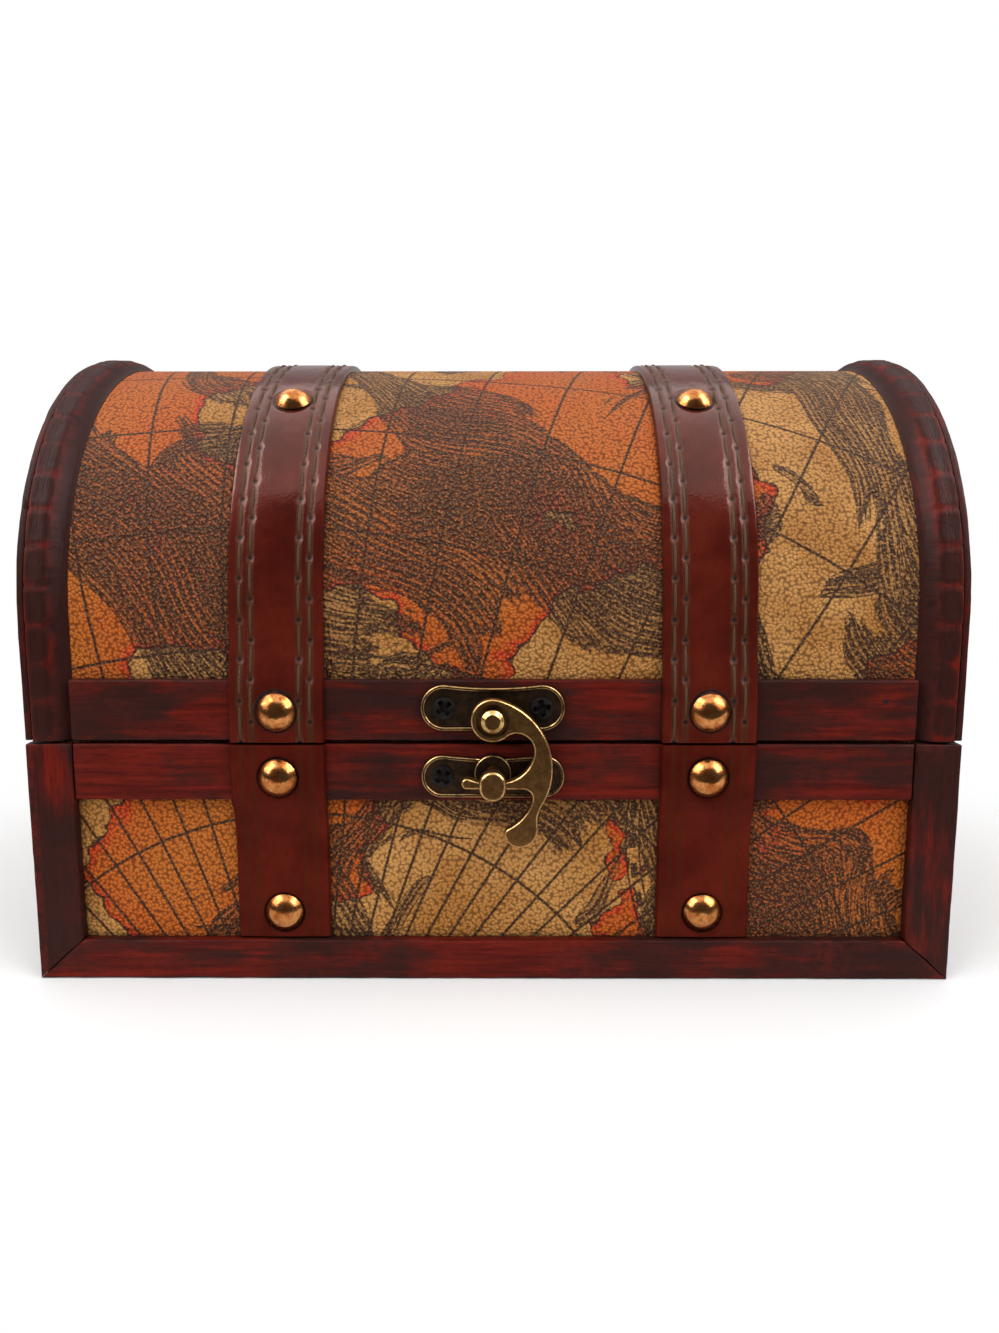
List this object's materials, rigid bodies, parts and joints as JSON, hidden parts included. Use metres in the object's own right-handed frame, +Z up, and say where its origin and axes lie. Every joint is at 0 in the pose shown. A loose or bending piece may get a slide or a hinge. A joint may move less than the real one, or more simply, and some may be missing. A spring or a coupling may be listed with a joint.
{
  "type": "treasure chest box",
  "caption": "Small dome-topped wooden keepsake chest in map-print leatherette, with wooden edging, leather straps, dome nails, a hinged lid and a swing latch.",
  "frame": {"origin": "centre of the underside, on the surface that the chest stands on", "axes": "+Z up, -Y out of the front with the latch, +X to the right seen from the front"},
  "size_m": [0.184, 0.1312, 0.131],
  "materials": {
    "nail_brass": "domed, copper-toned brass",
    "latch_bronze": "antique bronze with brass worn bright on the edges",
    "hinge_bronze": "antique bronze",
    "printed_leatherette": "pebbled leatherette printed like an old map",
    "strap_leather": "smooth oxblood leather, stitched along both edges",
    "carcass_wood": "plain fibreboard",
    "trim_wood": "mahogany stain, distressed"
  },
  "bodies": {
    "base": {"base_back_bottom_rail": "trim_wood", "base_back_cover": "printed_leatherette", "base_back_panel": "carcass_wood", "base_back_stile_left": "trim_wood", "base_back_stile_right": "trim_wood", "base_back_strap_left": "strap_leather", "base_back_strap_right": "strap_leather", "base_back_top_rail": "trim_wood", "base_bottom_panel": "carcass_wood", "base_front_bottom_rail": "trim_wood", "base_front_cover": "printed_leatherette", "base_front_panel": "carcass_wood", "base_front_stile_left": "trim_wood", "base_front_stile_right": "trim_wood", "base_front_strap_left": "strap_leather", "base_front_strap_right": "strap_leather", "base_front_top_rail": "trim_wood", "base_left_bottom_rail": "trim_wood", "base_left_cover": "printed_leatherette", "base_left_panel": "carcass_wood", "base_left_stile_back": "trim_wood", "base_left_stile_front": "trim_wood", "base_left_top_rail": "trim_wood", "base_nails": "nail_brass", "base_right_bottom_rail": "trim_wood", "base_right_cover": "printed_leatherette", "base_right_panel": "carcass_wood", "base_right_stile_back": "trim_wood", "base_right_stile_front": "trim_wood", "base_right_top_rail": "trim_wood", "base_screws": "latch_bronze", "hinge_lower_leaf_left": "hinge_bronze", "hinge_lower_leaf_right": "hinge_bronze", "hinge_pins": "hinge_bronze", "latch_catch_plate": "latch_bronze", "latch_catch_stud": "latch_bronze"},
    "lid": {"hinge_upper_leaf_left": "hinge_bronze", "hinge_upper_leaf_right": "hinge_bronze", "lid_arch_strip_left": "trim_wood", "lid_arch_strip_right": "trim_wood", "lid_back_rail": "trim_wood", "lid_end_board_left": "carcass_wood", "lid_end_board_right": "carcass_wood", "lid_end_cover_left": "printed_leatherette", "lid_end_cover_right": "printed_leatherette", "lid_end_ring_left": "trim_wood", "lid_end_ring_right": "trim_wood", "lid_front_rail": "trim_wood", "lid_nails": "nail_brass", "lid_screws": "latch_bronze", "lid_shell": "carcass_wood", "lid_side_rail_left": "trim_wood", "lid_side_rail_right": "trim_wood", "lid_strap_left": "strap_leather", "lid_strap_right": "strap_leather", "lid_top_cover": "printed_leatherette", "latch_plate": "latch_bronze", "latch_rivet": "latch_bronze"},
    "latch_hook": {"latch_hook": "latch_bronze"}
  },
  "joints": [
    {"name": "lid_hinge", "type": "hinge", "parent": "base", "child": "lid", "pos_m": [0, 0.0604, 0.049], "axis": [-1, 0, 0], "range_deg": [0, 105]},
    {"name": "latch_swing", "type": "hinge", "parent": "lid", "child": "latch_hook", "pos_m": [0, -0.062, 0.05415], "axis": [0, -1, 0], "range_deg": [0, 110]}
  ]
}
